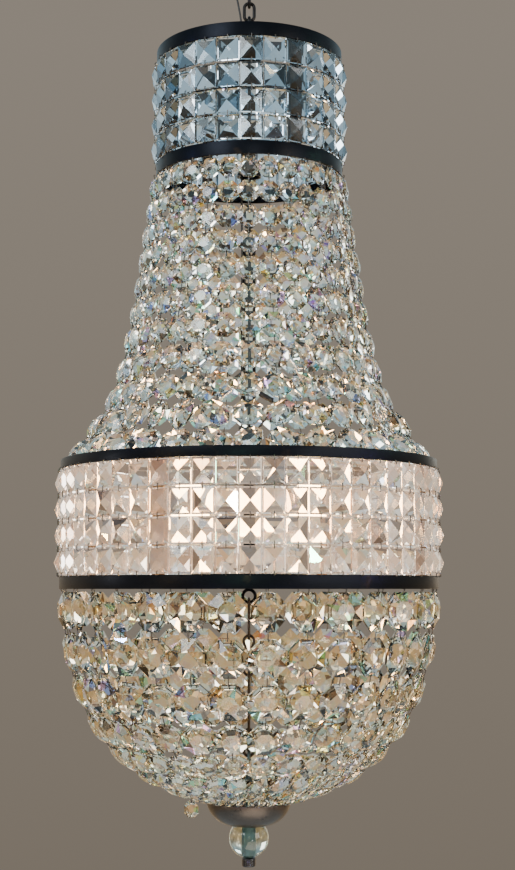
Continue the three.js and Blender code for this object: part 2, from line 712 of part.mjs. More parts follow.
function makeFinial() {
  const bowl = [];
  const inside = [];
  const steps = 4;
  for (let i = 0; i <= steps; i += 1) {
    const a = (i / steps) * (Math.PI / 2);
    const r = BALL_SEAT_RADIUS + (DISH_RADIUS - BALL_SEAT_RADIUS) * Math.sin(a);
    const z = dishRim - GAP - DISH_DEPTH * Math.cos(a);
    bowl.push([r, z]);
    inside.unshift([r - DISH_WALL * Math.sin(a), z + DISH_WALL * Math.cos(a)]);
  }
  add("dish", turned([...bowl, ...inside, bowl[0]], 32), BRONZE);

  const ball = [];
  const rings = 10;
  const reach = Math.acos(rodHole / ballRadius);
  for (let i = 0; i <= rings; i += 1) {
    const a = -reach + (2 * reach * i) / rings;
    ball.push([ballRadius * Math.cos(a), ballCentre + ballRadius * Math.sin(a)]);
  }
  add("finial_ball", turned([...ball, ball[0]], 24), CRYSTAL);

  const nut = [
    [0, nutLow],
    [NUT_DIAMETER / 2, nutLow],
    [NUT_DIAMETER / 2, nutHigh],
    [rodHole, nutHigh],
    [rodHole, nutLow + NUT_FLOOR],
    [0, nutLow + NUT_FLOOR],
  ];
  add("finial_nut", turned(nut, 20), BLACK_NUT);
}

// Height of the basket's face where it has a given radius.
function basketHeight(radius) {
  const share = (1 - (radius / DRUM_RADIUS) ** BASKET_POWER) ** (1 / BASKET_POWER) / rimShare;
  return dishRim * share;
}

// One bead of a strand that has come off the dish hangs by its pin and swings.
function makeLooseBead() {
  const half = LOOSE_BEAD / 2;
  const profile = [[0, -BEAD_THICKNESS / 4], [half, -1.2], [half, 1.2], [0, BEAD_THICKNESS / 4]];
  const pinTop = basketHeight(LOOSE_BEAD_RADIUS) - GAP;
  const bead = turned(profile, 8, true).rotateX(Math.PI / 2);
  bead.translate(0, 0, pinTop - LOOSE_PIN_LENGTH - half);
  const pin = upright(LOOSE_PIN_WIRE / 2, pinTop - LOOSE_PIN_LENGTH - 1, pinTop, 6);
  const shape = join(bead, pin).translate(0, -LOOSE_BEAD_RADIUS, 0);
  add("loose_bead", shape, CRYSTAL, -(Math.PI * 2 * LOOSE_BEAD_STRAND) / STRANDS);
}

makeSuspension();
makeCord();
makeCrownFrame();
makeDrumFrame();
makeStones();
makeBeadwork();
makeHub();
makeSplice();
makeLamps();
makeStay();
makeFinial();
makeLooseBead();

export default chandelier;
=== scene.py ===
"""A hanging basket chandelier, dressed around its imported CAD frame. Metres, +Z up.

The origin is the middle of the ceiling rose's flat top face, and the front is -Y."""
import math
import random

import bpy
from mathutils import Matrix, Vector


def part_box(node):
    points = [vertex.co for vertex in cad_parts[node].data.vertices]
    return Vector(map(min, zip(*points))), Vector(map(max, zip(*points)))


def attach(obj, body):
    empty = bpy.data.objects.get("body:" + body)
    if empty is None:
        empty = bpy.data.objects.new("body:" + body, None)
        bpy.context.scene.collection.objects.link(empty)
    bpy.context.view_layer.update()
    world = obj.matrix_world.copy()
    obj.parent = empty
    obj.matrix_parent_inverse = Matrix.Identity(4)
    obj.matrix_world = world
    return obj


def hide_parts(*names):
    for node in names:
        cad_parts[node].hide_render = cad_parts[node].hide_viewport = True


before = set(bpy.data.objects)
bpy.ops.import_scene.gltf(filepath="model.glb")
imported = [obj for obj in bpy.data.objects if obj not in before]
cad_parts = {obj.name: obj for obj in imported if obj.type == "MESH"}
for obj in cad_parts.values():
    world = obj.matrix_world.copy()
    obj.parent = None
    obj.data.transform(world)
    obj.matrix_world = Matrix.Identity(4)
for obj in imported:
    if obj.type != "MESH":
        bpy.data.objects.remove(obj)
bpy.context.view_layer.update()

MM = 0.001
FULL_TURN = 2 * math.pi
FRONT = -math.pi / 2
rng = random.Random(11)

# ---------------- sizes, in metres

CAMERA_DISTANCE = 1.545
CAMERA_SIDE = 0.00875           # the lens stands this far to the right of the chain
CAMERA_TILT = 5.86              # degrees above level
CAMERA_LENS = 62.07             # millimetres, on a sensor 36 high

LINK_WIRE = 0.0035
LINK_WIDTH = 0.014
LINK_PITCH = 0.0155
CORD_DIAMETER = 0.002

BAND_THICKNESS = 0.0025
STONE_GAP = 0.0006              # between two stones of one row
STONE_RISE = 0.005
STONE_GIRDLE = 0.0014
STONE_BACK = 0.0022
STONE_BACK_SHARE = 0.84         # of the stone's width, at its eased back
STONE_SEAT = 0.0005             # a stone's base stands this far outside the band
STONE_RISE_PLAY = 0.06          # how far the cut varies, as a share of the rise
STONE_TIP_PLAY = 0.03           # and of the width, for where the tip lies
STONE_LEAN = 1.6                # degrees that a stone may hang off true
STONE_YAW = 1.2
CROWN_STONE = 0.0250            # heights of the two walls' stones
DRUM_STONE = 0.0252

STRANDS = 32
NECK_BEADS = [0.022, 0.022, 0.023, 0.023, 0.024, 0.025, 0.026, 0.027, 0.028, 0.028, 0.028]
NECK_TAPER = 0.0427
BASKET_BEADS = [0.036, 0.036, 0.035, 0.032, 0.029, 0.026, 0.022, 0.018]
BASKET_POWER = 2.35
TWIST_HELD = 5                  # degrees that a bead may turn on its pins between neighbours
TWIST_FREE = 32                 # and where it hangs clear of them
BEAD_TILT = 5                   # degrees that a bead may tip up or down
BEAD_LEVER = 0.36               # share of a bead's width that its swing pushes inward
STRAND_INSET = 0.0014           # from the outline to the hooks at a strand's two ends
LOOSE_BEAD = 0.0155
PIN_WIRE = 0.0011
PIN_INSET = 0.0026              # from a bead's edge to the hole that its pin goes through

WIRE_EYE = 0.0034
HOLDER_BORE = 0.0071
DISH_WALL = 0.0016
DISH_SEAT = 0.016               # radius of the hole that the ball sits against
DISH_FULLNESS = 1.25            # 1 is a quarter of an ellipse, and more is deeper in the middle

FLOOR_LEVEL = -2.6
FLOOR_RADIUS = 2.6
FLOOR_DEPTH = 0.02


# ---------------- frame readings

def low(node):
    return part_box(node)[0]


def high(node):
    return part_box(node)[1]


def middle(node):
    return (low(node) + high(node)) / 2


def half_width(node):
    return (high(node).x - low(node).x) / 2


DRUM_EDGE = low("drum_bottom_band").z
CROWN_RADIUS = half_width("crown_top_band")
DRUM_RADIUS = half_width("drum_top_band")
DISH_RADIUS = half_width("dish")


# ---------------- camera and cord

def make_camera():
    camera = bpy.data.objects.new("camera", bpy.data.cameras.new("camera"))
    camera.data.lens = CAMERA_LENS
    camera.location = (CAMERA_SIDE, -CAMERA_DISTANCE, DRUM_EDGE)
    camera.rotation_euler = (math.radians(90 + CAMERA_TILT), 0, 0)
    bpy.context.scene.collection.objects.link(camera)
    bpy.context.scene.camera = camera


# The cord's route, in millimetres, with heights above the drum's lower edge.
CORD_ROUTE = [
    (-16, -3, 654.5),
    (-16, -3, 646),
    (-14.4, -3, 632),
    (-11.2, -3, 616),
    (-8.7, -3, 600),
    (-7.7, -3, 580),
    (-7.7, -3, 540),
    (-7.5, -3, 500),
    (-7.7, -3, 460),
    (-7.9, -3, 420),
    (-7.7, -3, 380),
    (-7.5, -3, 340),
    (-7.7, -3, 300),
    (-7.9, -3, 260),
    (-7.7, -3, 220),
    (-7.7, -3, 180),
    (-7.7, -3, 161),
]


# ---------------- materials

def socket(sockets, name):
    """A socket by name. A mix node has several of one name, and the enabled one is meant."""
    return next(s for s in sockets if s.name == name and s.enabled)


class Nodes:
    """A node tree, and short calls that add to it."""

    def __init__(self, tree, coordinates="Object"):
        self.tree = tree
        self.coordinates = coordinates

    def node(self, kind, **settings):
        made = self.tree.nodes.new(kind)
        for key, value in settings.items():
            setattr(made, key, value)
        return made

    def link(self, output, target):
        self.tree.links.new(output, target)

    def place(self):
        return self.node("ShaderNodeTexCoord").outputs[self.coordinates]

    def noise(self, scale, detail=3.0, roughness=0.5, stretch=(1, 1, 1)):
        mapping = self.node("ShaderNodeMapping")
        mapping.inputs["Scale"].default_value = stretch
        made = self.node("ShaderNodeTexNoise")
        made.inputs["Scale"].default_value = scale
        made.inputs["Detail"].default_value = detail
        made.inputs["Roughness"].default_value = roughness
        self.link(self.place(), mapping.inputs["Vector"])
        self.link(mapping.outputs["Vector"], made.inputs["Vector"])
        return made.outputs["Fac"]

    def ramp(self, source, *stops):
        """Colours along a value: each stop is (position, colour)."""
        made = self.node("ShaderNodeValToRGB")
        elements = made.color_ramp.elements
        while len(elements) < len(stops):
            elements.new(0.5)
        for element, (position, colour) in zip(elements, stops):
            element.position = position
            element.color = (*colour, 1)
        self.link(source, made.inputs["Fac"])
        return made.outputs["Color"]

    def span(self, source, start, end, value_start=0.0, value_end=1.0):
        """A value between two numbers as the source goes from start to end."""
        made = self.node("ShaderNodeMapRange")
        for key, value in zip(("From Min", "From Max", "To Min", "To Max"),
                              (start, end, value_start, value_end)):
            made.inputs[key].default_value = value
        self.link(source, made.inputs["Value"])
        return made.outputs["Result"]

    def mix(self, share, first, second, blend="MIX"):
        """Two colours mixed by a share. Each is an output or a plain colour."""
        made = self.node("ShaderNodeMix", data_type="RGBA", blend_type=blend)
        for key, value in (("Factor", share), ("A", first), ("B", second)):
            target = socket(made.inputs, key)
            if isinstance(value, (int, float)):
                target.default_value = value
            elif isinstance(value, tuple):
                target.default_value = (*value, 1)
            else:
                self.link(value, target)
        return socket(made.outputs, "Result")


class Look(Nodes):
    """A material with one shader."""

    def __init__(self, name):
        self.material = bpy.data.materials.new(name)
        self.material.use_nodes = True
        super().__init__(self.material.node_tree)
        self.shader = self.tree.nodes["Principled BSDF"]

    def put(self, **values):
        """Constant values, straight on the shader's own sockets."""
        for key, value in values.items():
            self.shader.inputs[key.replace("_", " ")].default_value = value
        return self

    def painted_facet_shade(self):
        """The painted reflection, shade and glint colour that each face of a cut stone was given."""
        return self.node("ShaderNodeAttribute", attribute_name="painted_facet_shade").outputs["Color"]

    def bump(self, height, strength, distance=0.0005):
        made = self.node("ShaderNodeBump")
        made.inputs["Strength"].default_value = strength
        made.inputs["Distance"].default_value = distance
        self.link(height, made.inputs["Height"])
        self.link(made.outputs["Normal"], self.shader.inputs["Normal"])

    def into(self, name, output):
        self.link(output, self.shader.inputs[name])
        return self


def bronze_look(name, dark, worn, wear, grain=(1, 1, 1)):
    """Antique bronze: a near-black patina that is rubbed through to a warmer metal."""
    look = Look(name).put(Metallic=0.8, Specular_IOR_Level=0.25)
    clouds = look.noise(55, 6, 0.6)
    brushed = look.noise(420, 3, 0.6, grain)
    patina = look.ramp(clouds, (0.3, dark), (0.62, dark), (0.62 + wear, worn))
    fine = look.span(brushed, 0.3, 0.7, 0.75, 1.15)
    look.into("Base Color", look.mix(0.7, patina, fine, "MULTIPLY"))
    look.into("Roughness", look.span(brushed, 0.3, 0.7, 0.26, 0.44))
    look.bump(brushed, 0.12, 0.0002)
    return look.material


def crystal_look(name, glass_and_painted_hues, painted_glow=None, strength=0.0):
    """Cut crystal: clear glass whose faces carry painted reflections, painted shade and painted glints,
    under soft patches of colour. On the stones and beads these patches are painted daylight, painted
    lamplight and a painted rainbow; on the ball they are its own grey-green.
    """
    look = Look(name).put(Transmission_Weight=1.0, IOR=1.56)
    patches = look.noise(80, 1.5, 0.4)
    steps = len(glass_and_painted_hues) - 1
    patch_colour_and_painted_rainbow = look.ramp(patches, *((0.32 + 0.36 * k / steps, hue) for k, hue in enumerate(glass_and_painted_hues)))
    # Base colour: the patches of painted rainbow and painted light, times each face's painted
    # reflection and shade.
    look.into("Base Color", look.mix(1.0, patch_colour_and_painted_rainbow, look.painted_facet_shade(), "MULTIPLY"))
    look.into("Roughness", look.span(look.noise(700, 2), 0.3, 0.7, 0.0, 0.02))
    # A painted glow: the stones give off a little warm light of their own, standing in for the lamps
    # that light them from inside.
    if painted_glow:
        painted_glow_colour = look.mix(0.5, painted_glow, patch_colour_and_painted_rainbow)
        look.into("Emission Color", look.mix(1.0, painted_glow_colour, look.painted_facet_shade(), "MULTIPLY"))
        look.put(Emission_Strength=strength)
    return look.material


def plastic_look(name, colour, rough):
    """A moulded or lacquered surface with a fine speckle."""
    look = Look(name).put(Specular_IOR_Level=0.4)
    speckle = look.noise(240, 4, 0.6)
    pale = tuple(min(1.0, c * 1.25 + 0.01) for c in colour)
    look.into("Base Color", look.ramp(speckle, (0.35, colour), (0.75, pale)))
    look.into("Roughness", look.span(speckle, 0.3, 0.7, rough - 0.08, rough + 0.1))
    look.bump(speckle, 0.15, 0.0002)
    return look.material


def lamp_look():
    """Frosted candle lamp, glowing warm all over with a fine mottle in its frost."""
    look = Look("lamp_glass").put(Transmission_Weight=0.5, IOR=1.45)
    frost = look.noise(130, 3)
    look.into("Base Color", look.ramp(frost, (0.3, (1, 0.86, 0.66)), (0.7, (1, 0.93, 0.8))))
    look.into("Roughness", look.span(frost, 0.3, 0.7, 0.3, 0.5))
    look.into("Emission Color", look.ramp(frost, (0.3, (1, 0.6, 0.28)), (0.7, (1, 0.72, 0.42))))
    look.put(Emission_Strength=9.0)
    return look.material


def floor_look():
    look = Look("floor")
    mottle = look.noise(3, 5)
    look.into("Base Color", look.ramp(mottle, (0.3, (0.60, 0.58, 0.55)), (0.7, (0.68, 0.66, 0.63))))
    look.into("Roughness", look.span(mottle, 0.3, 0.7, 0.6, 0.8))
    return look.material


# The crystals' patch colours are painted light: cool painted daylight on the crown, a pastel painted
# rainbow on the beads, warm painted lamplight on the drum, and the beads' painted rainbow warmed by
# painted lamplight in the basket.
COOL_PAINTED_DAYLIGHT_HUES = [(0.80, 0.90, 1.0), (0.95, 0.98, 1.0), (0.86, 0.93, 1.0), (0.98, 0.98, 0.96)]
PASTEL_PAINTED_RAINBOW_HUES = [(0.80, 0.76, 1.0), (0.98, 0.99, 0.96), (1.0, 0.86, 0.74), (0.98, 0.99, 0.95),
               (1.0, 0.96, 0.70), (0.97, 0.99, 0.94), (0.80, 0.97, 0.88)]
WARM_PAINTED_LAMPLIGHT_HUES = [(1.0, 0.88, 0.84), (1.0, 0.96, 0.92), (1.0, 0.89, 0.76), (1.0, 0.97, 0.94)]
BASKET_PAINTED_WARM_RAINBOW_HUES = [(0.98 * red, 0.93 * green, 0.84 * blue) for red, green, blue in PASTEL_PAINTED_RAINBOW_HUES]

BRONZE = bronze_look("bronze", (0.004, 0.005, 0.008), (0.04, 0.025, 0.016), 0.26, (1, 1, 9))
WARM_BRONZE = bronze_look("warm_bronze", (0.05, 0.036, 0.028), (0.17, 0.10, 0.06), 0.16)
DISH_BRONZE = bronze_look("dish_bronze", (0.08, 0.07, 0.064), (0.13, 0.105, 0.09), 0.2)
# The drum's straps: a brown bronze made lighter and more brass-coloured than the crown's, as painted
# glow from the lamps inside the drum.
STRAP_BRONZE_PAINTED_GLOW = bronze_look("strap_bronze_painted_glow", (0.34, 0.22, 0.14), (0.55, 0.36, 0.22), 0.2)
CHAIN_BRONZE = bronze_look("chain_bronze", (0.022, 0.02, 0.02), (0.12, 0.075, 0.045), 0.18)
ROD_METAL = bronze_look("rod_metal", (0.09, 0.125, 0.13), (0.22, 0.26, 0.26), 0.16)
PIN_METAL = bronze_look("pin_metal", (0.10, 0.09, 0.08), (0.35, 0.31, 0.26), 0.16)
CROWN_CRYSTAL = crystal_look("crown_crystal", COOL_PAINTED_DAYLIGHT_HUES)
BEAD_CRYSTAL = crystal_look("bead_crystal", PASTEL_PAINTED_RAINBOW_HUES)
BASKET_CRYSTAL = crystal_look("basket_crystal", BASKET_PAINTED_WARM_RAINBOW_HUES)
# The drum's stones carry a painted warm glow of the lamps inside the drum.
DRUM_CRYSTAL = crystal_look("drum_crystal", WARM_PAINTED_LAMPLIGHT_HUES, (1.0, 0.62, 0.38), 0.12)
BALL_CRYSTAL = crystal_look("ball_crystal", [(0.50, 0.56, 0.50), (0.60, 0.64, 0.58)])
LAMP_GLASS = lamp_look()
GROUND_GLASS = plastic_look("ground_glass", (0.07, 0.15, 0.16), 0.45)
IVORY = plastic_look("ivory", (0.74, 0.68, 0.55), 0.5)
BLACK_PLASTIC = plastic_look("black_plastic", (0.016, 0.016, 0.017), 0.5)
BLACK_LACQUER = plastic_look("black_lacquer", (0.008, 0.008, 0.010), 0.28)

CLEAR = (0.992, 0.989, 0.980)

# How often a cut face has each colour of painted reflection, painted shade and painted glint, for the
# three kinds of stone.
CROWN_PAINTED_FACETS = [
    (56, (0.95, 0.98, 1.0)),
    (12, (0.80, 0.90, 0.98)),
    (13, (0.30, 0.42, 0.50)),
    (13, (0.06, 0.11, 0.15)),
    (6, (0.95, 0.90, 0.84)),
]
BEAD_PAINTED_FACETS = [
    (70, CLEAR),
    (12, (0.95, 0.89, 0.78)),
    (4, (0.90, 0.94, 0.97)),
    (4, (0.45, 0.40, 0.36)),
    (4, (0.10, 0.06, 0.04)),
    (1, (1.0, 0.80, 0.15)),
    (1, (0.16, 0.24, 1.0)),
    (1, (1.0, 0.42, 0.12)),
    (1, (0.15, 0.75, 1.0)),
    (1, (0.60, 0.25, 0.95)),
    (1, (0.30, 0.90, 0.45)),
]
DRUM_PAINTED_FACETS = [
    (50, (1.0, 0.98, 0.96)),
    (18, (1.0, 0.90, 0.80)),
    (10, (0.86, 0.70, 0.58)),
    (6, (0.50, 0.40, 0.35)),
    (10, (0.82, 0.90, 1.0)),
    (3, (0.16, 0.15, 0.17)),
]


# Picks the painted reflection and shade colour of one face by its weight.
def pick_painted_facet_shade(painted_facet_shades):
    weights, colours = zip(*painted_facet_shades)
    return rng.choices(colours, weights)[0]


# ---------------- meshes

class Shape:
    """Corners, faces and one painted reflection and shade colour for each face, gathered for one
    piece's mesh.
    """

    def __init__(self):
        self.corners = []
        self.faces = []
        self.painted_facet_shades = []

    def add(self, form, place=Matrix.Identity(4), painted_facet_shades=None, clear=0):
        """Draws a painted reflection and shade colour for each face, except that the first few may stay
        clear.
        """
        corners, faces = form
        start = len(self.corners)
        self.corners += [place @ Vector(c) for c in corners]
        for k, face in enumerate(faces):
            self.faces.append([start + i for i in face])
            self.painted_facet_shades.append(pick_painted_facet_shade(painted_facet_shades) if painted_facet_shades and k >= clear else CLEAR)
        return self


def make_piece(name, shape, look, body, nodes=(), smooth=None):
    """One piece that rides on a body. Smooth is the widest angle, in degrees, to shade over."""
    mesh = bpy.data.meshes.new(name)
    mesh.from_pydata(shape.corners, [], shape.faces)
    # Each face's painted reflection and shade colour, stored on the mesh for the crystal materials.
    painted_facet_shade = mesh.attributes.new("painted_facet_shade", "FLOAT_COLOR", "FACE")
    painted_facet_shade.data.foreach_set("color", [value for t in shape.painted_facet_shades for value in (*t, 1.0)])
    if smooth:
        mesh.shade_smooth()
        mesh.set_sharp_from_angle(angle=math.radians(smooth))
    mesh.materials.append(look)
    mesh.validate()
    piece = bpy.data.objects.new(name, mesh)
    bpy.context.scene.collection.objects.link(piece)
    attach(piece, body)
    if nodes:
        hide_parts(*nodes)
    return piece


def at(x=0.0, y=0.0, z=0.0, turn=0.0, radius=0.0):
    """A place: turned about the axis by an angle, out along the turned X, then moved."""
    spin = Matrix.Rotation(turn, 4, "Z")
    return Matrix.Translation((x, y, z)) @ spin @ Matrix.Translation((radius, 0, 0))


def lathe(profile, segments=96):
    """A profile of (radius, height) turned about Z. It closes on itself or ends on the axis."""
    on_axis = profile[0][0] == 0
    corners = []
    starts = []
    for radius, height in profile:
        starts.append(len(corners))
        count = 1 if radius == 0 else segments
        for i in range(count):
            angle = FULL_TURN * i / segments
            corners.append((radius * math.cos(angle), radius * math.sin(angle), height))
    faces = []
    pairs = list(zip(range(len(profile)), range(1, len(profile))))
    if not on_axis:
        pairs.append((len(profile) - 1, 0))
    for a, b in pairs:
        for i in range(segments):
            j = (i + 1) % segments
            ring = [starts[a] + (0 if profile[a][0] == 0 else k) for k in (i, j)]
            ring += [starts[b] + (0 if profile[b][0] == 0 else k) for k in (j, i)]
            face = list(dict.fromkeys(ring))
            if len(face) > 2:
                faces.append(face)
    return corners, faces


def rounded(points, radius, steps=4):
    """The same outline of (radius, height) points with its inner corners rounded off."""
    result = [points[0]]
    for before, corner, after in zip(points, points[1:], points[2:]):
        here = Vector(corner)
        back, on = Vector(before) - here, Vector(after) - here
        reach = min(radius, back.length / 2.1, on.length / 2.1)
        start, end = here + back.normalized() * reach, here + on.normalized() * reach
        for k in range(steps + 1):
            t = k / steps
            point = start * (1 - t) ** 2 + here * 2 * t * (1 - t) + end * t ** 2
            result.append((max(point.x, 0.0), point.y))
    result.append(points[-1])
    return result


def ring_profile(inner, outer, bottom, top, edge):
    """A band's section, with all four of its edges eased."""
    loop = [(inner, bottom), (outer, bottom), (outer, top), (inner, top)]
    loop = [loop[-1], *loop, loop[0]]
    return rounded(loop, edge)[1:-1]


def smooth_path(points, steps=6, closed=False):
    """A curve through the points, as a list of close points."""
    pts = [Vector(p) for p in points]
    count = len(pts)
    path = []
    for i in range(count if closed else count - 1):
        if closed:
            p = [pts[(i + k) % count] for k in (-1, 0, 1, 2)]
        else:
            p = [pts[min(max(i + k, 0), count - 1)] for k in (-1, 0, 1, 2)]
        for k in range(steps):
            t = k / steps
            path.append(0.5 * (2 * p[1] + (p[2] - p[0]) * t
                               + (2 * p[0] - 5 * p[1] + 4 * p[2] - p[3]) * t ** 2
                               + (3 * p[1] - p[0] - 3 * p[2] + p[3]) * t ** 3))
    if not closed:
        path.append(pts[-1])
    return path


def tube(path, radius, sides=10, closed=False):
    """A round wire along a path of points. Radius is a number, or one for each point."""
    count = len(path)
    radii = [radius] * count if isinstance(radius, (int, float)) else radius
    corners, faces = [], []
    side = None
    for i, point in enumerate(path):
        after = path[(i + 1) % count] if closed or i < count - 1 else point
        before = path[i - 1] if closed or i > 0 else point
        run = (after - before).normalized()
        if side is None:
            side = run.orthogonal().normalized()
        side = (side - run * side.dot(run)).normalized()
        up = run.cross(side)
        for k in range(sides):
            a = FULL_TURN * k / sides
            corners.append(point + (side * math.cos(a) + up * math.sin(a)) * radii[i])
    for i in range(count if closed else count - 1):
        j = (i + 1) % count
        for k in range(sides):
            m = (k + 1) % sides
            faces.append([i * sides + k, i * sides + m, j * sides + m, j * sides + k])
    if closed:
        return corners, unturned(corners, faces, count, sides)
    faces.append(list(range(sides))[::-1])
    faces.append([(count - 1) * sides + k for k in range(sides)])
    return corners, faces


def unturned(corners, faces, count, sides):
    """Joins a closed tube's last ring to the nearest corners of its first ring."""
    last = [corners[(count - 1) * sides + k] for k in range(sides)]
    shift = min(range(sides), key=lambda s: sum(
        (last[k] - corners[(k + s) % sides]).length for k in range(sides)))
    kept = faces[:(count - 1) * sides]
    for k in range(sides):
        m = (k + 1) % sides
        a, b = (count - 1) * sides + k, (count - 1) * sides + m
        kept.append([a, b, (m + shift) % sides, (k + shift) % sides])
    return kept


def oval(width, length, bends=10):
    """The middle line of an upright link in the XZ plane: two half rings and two straights."""
    radius = width / 2
    straight = length / 2 - radius
    path = []
    for end in (1, -1):
        for k in range(bends + 1):
            a = math.pi * k / bends + (0 if end > 0 else math.pi)
            path.append(Vector((radius * math.cos(a), 0, end * straight + radius * math.sin(a))))
    return path


# ---------------- cut stones

def cut_bead(width, thickness):
    """An octagon bead that faces +X, with its height along Z. One side has a wide table with
    eight long facets, and the other a small table with sixteen. Either may be outside."""
    outer = width / 2 / math.cos(math.pi / 8)
    wide, narrow = rng.uniform(0.50, 0.58), rng.uniform(0.40, 0.46)
    side = rng.choice((1, -1))
    # Each ring of eight corners: share of the radius, share of the thickness, part of a step turned.
    rings = [(wide, 0.46, 0.5), (1.0, 0.07, 0.5), (1.0, -0.07, 0.5), (narrow, -0.48, 0.0)]
    corners = []
    for share, rise, shift in rings:
        for k in range(8):
            a = side * FULL_TURN * (k + shift) / 8
            across, along = share * outer * math.cos(a), share * outer * math.sin(a)
            corners.append((side * rise * thickness, across, along))
    faces = [list(range(8)), [24 + k for k in range(8)][::-1]]
    for k in range(8):
        m = (k + 1) % 8
        faces += [[k, 8 + k, 8 + m, m], [8 + k, 16 + k, 16 + m, 8 + m]]
        faces += [[16 + k, 24 + k, 24 + m], [16 + k, 24 + m, 16 + m]]
    return corners, faces


def cut_square(width, height):
    """A square stone that faces +X: a low pyramid, a thin edge and an eased back."""
    lift = 1 + rng.uniform(-STONE_RISE_PLAY, STONE_RISE_PLAY)
    rings = [(-STONE_BACK, STONE_BACK_SHARE), (-STONE_GIRDLE / 2, 1.0), (0.0, 1.0)]
    corners = []
    for x, share in rings:
        for sy, sz in ((-1, -1), (1, -1), (1, 1), (-1, 1)):
            corners.append((x, sy * share * width / 2, sz * share * height / 2))
    tip_y = rng.uniform(-1, 1) * STONE_TIP_PLAY * width
    tip_z = rng.uniform(-1, 1) * STONE_TIP_PLAY * height
    corners.append((STONE_RISE * lift, tip_y, tip_z))
    faces = [[3, 2, 1, 0]]
    for ring in (0, 4):
        for k in range(4):
            m = (k + 1) % 4
            faces.append([ring + k, ring + m, ring + 4 + m, ring + 4 + k])
    faces += [[8 + k, 8 + (k + 1) % 4, 12] for k in range(4)]
    return corners, faces


def pin(start, end, outward):
    """A bow pin: a wire across a gap with a small bent end in the hole of each stone."""
    bend = outward * PIN_WIRE * 1.5
    run = (end - start).normalized() * PIN_WIRE
    path = [start - bend, start + run * 0.6, end - run * 0.6, end - bend]
    return tube(path, PIN_WIRE / 2, 5)


# ---------------- suspension

def make_rose():
    bottom, top = low("ceiling_rose").z, high("ceiling_rose").z
    radius = half_width("ceiling_rose")
    bush = middle("cord_grommet")
    lip = half_width("cord_grommet")
    edge = 0.0035
    dome = [
        (0, bottom),
        (radius * 0.5, bottom),
        (radius * 0.82, bottom + 0.35 * (top - bottom)),
        (radius * 0.93, bottom + 0.62 * (top - bottom)),
        (radius, top - edge),
        (radius, top),
        (0, top),
    ]
    shape = Shape().add(lathe(rounded(dome, 0.003), 96))
    piece = make_piece("rose_cover", shape, BRONZE, "ceiling", ["ceiling_rose"], 35)
    cutter_mesh = bpy.data.meshes.new("bush_hole")
    start, end = bottom - 0.01, top - edge - 0.0001
    corners, faces = lathe([(0, start), (lip, start), (lip, end), (0, end)], 48)
    cutter_mesh.from_pydata(corners, [], faces)
    cutter = bpy.data.objects.new("bush_hole", cutter_mesh)
    cutter.location = (bush.x, bush.y, 0)
    bpy.context.scene.collection.objects.link(cutter)
    cut_away(piece, cutter)

    bore = lip - 0.002
    ring = ring_profile(bore, lip - 0.0002, bottom - 0.0008, high("cord_grommet").z, 0.0006)
    bushing = Shape().add(lathe(ring, 48), at(bush.x, bush.y))
    make_piece("cord_bush", bushing, BLACK_PLASTIC, "ceiling", ["cord_grommet"], 40)


def cut_away(piece, cutter):
    """Subtracts one mesh from another and drops the cutter."""
    boolean = piece.modifiers.new("cut", "BOOLEAN")
    boolean.operation = "DIFFERENCE"
    boolean.solver = "EXACT"
    boolean.object = cutter
    bpy.context.view_layer.update()
    graph = bpy.context.evaluated_depsgraph_get()
    result = bpy.data.meshes.new_from_object(piece.evaluated_get(graph))
    piece.modifiers.clear()
    piece.data = result
    bpy.data.objects.remove(cutter)


def make_chain():
    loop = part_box("ceiling_loop")
    radius = (loop[1].x - loop[0].x - LINK_WIRE) / 2
    centre = loop[0].z + radius + LINK_WIRE / 2
    ring = [Vector((radius * math.sin(a), 0, centre + radius * math.cos(a)))
            for a in (FULL_TURN * k / 40 for k in range(40))]
    stem = [Vector((0, 0, loop[1].z)), Vector((0, 0, centre + radius))]
    shape = Shape().add(tube(ring, LINK_WIRE / 2, 12, closed=True))
    shape.add(tube(stem, LINK_WIRE * 0.9, 16))
    make_piece("rose_loop", shape, BRONZE, "ceiling", ["ceiling_loop"], 40)

    middle_width = LINK_WIDTH - LINK_WIRE
    free = Shape()
    length = high("chain_top_link").z - low("chain_top_link").z - LINK_WIRE
    place = Matrix.Translation(middle("chain_top_link")) @ Matrix.Rotation(math.pi / 2, 4, "Z")
    free.add(tube(oval(middle_width, length), LINK_WIRE / 2, 12, closed=True), place)
    make_piece("free_link", free, CHAIN_BRONZE, "top_link", ["chain_top_link"], 60)

    top, bottom = high("suspension_chain").z, low("suspension_chain").z
    steps = round((top - bottom - LINK_PITCH - 2 * LINK_WIRE) / (LINK_PITCH + 0.0006))
    pitch = (top - bottom - length - LINK_WIRE) / steps
    links = Shape()
    link = tube(oval(middle_width, pitch + LINK_WIRE), LINK_WIRE / 2, 10, closed=True)
    for i in range(steps + 1):
        place = at(z=top - (length + LINK_WIRE) / 2 - i * pitch, turn=(i % 2) * math.pi / 2)
        links.add(link, place)
    make_piece("lamp_chain", links, CHAIN_BRONZE, "chandelier", ["suspension_chain"], 60)


def make_cord():
    curve = bpy.data.curves.new("lamp_cord", "CURVE")
    curve.dimensions = "3D"
    curve.bevel_depth = CORD_DIAMETER / 2
    curve.bevel_resolution = 3
    curve.resolution_u = 6
    curve.use_fill_caps = True
    spline = curve.splines.new("BEZIER")
    spline.bezier_points.add(len(CORD_ROUTE) - 1)
    for point, (x, y, height) in zip(spline.bezier_points, CORD_ROUTE):
        point.co = Vector((x, y, height)) * MM + Vector((0, 0, DRUM_EDGE))
        point.handle_left_type = point.handle_right_type = "AUTO"
    curve.materials.append(BLACK_PLASTIC)
    cord = bpy.data.objects.new("lamp_cord", curve)
    bpy.context.scene.collection.objects.link(cord)
    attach(cord, "chandelier")
    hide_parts("supply_cord")


# ---------------- frames

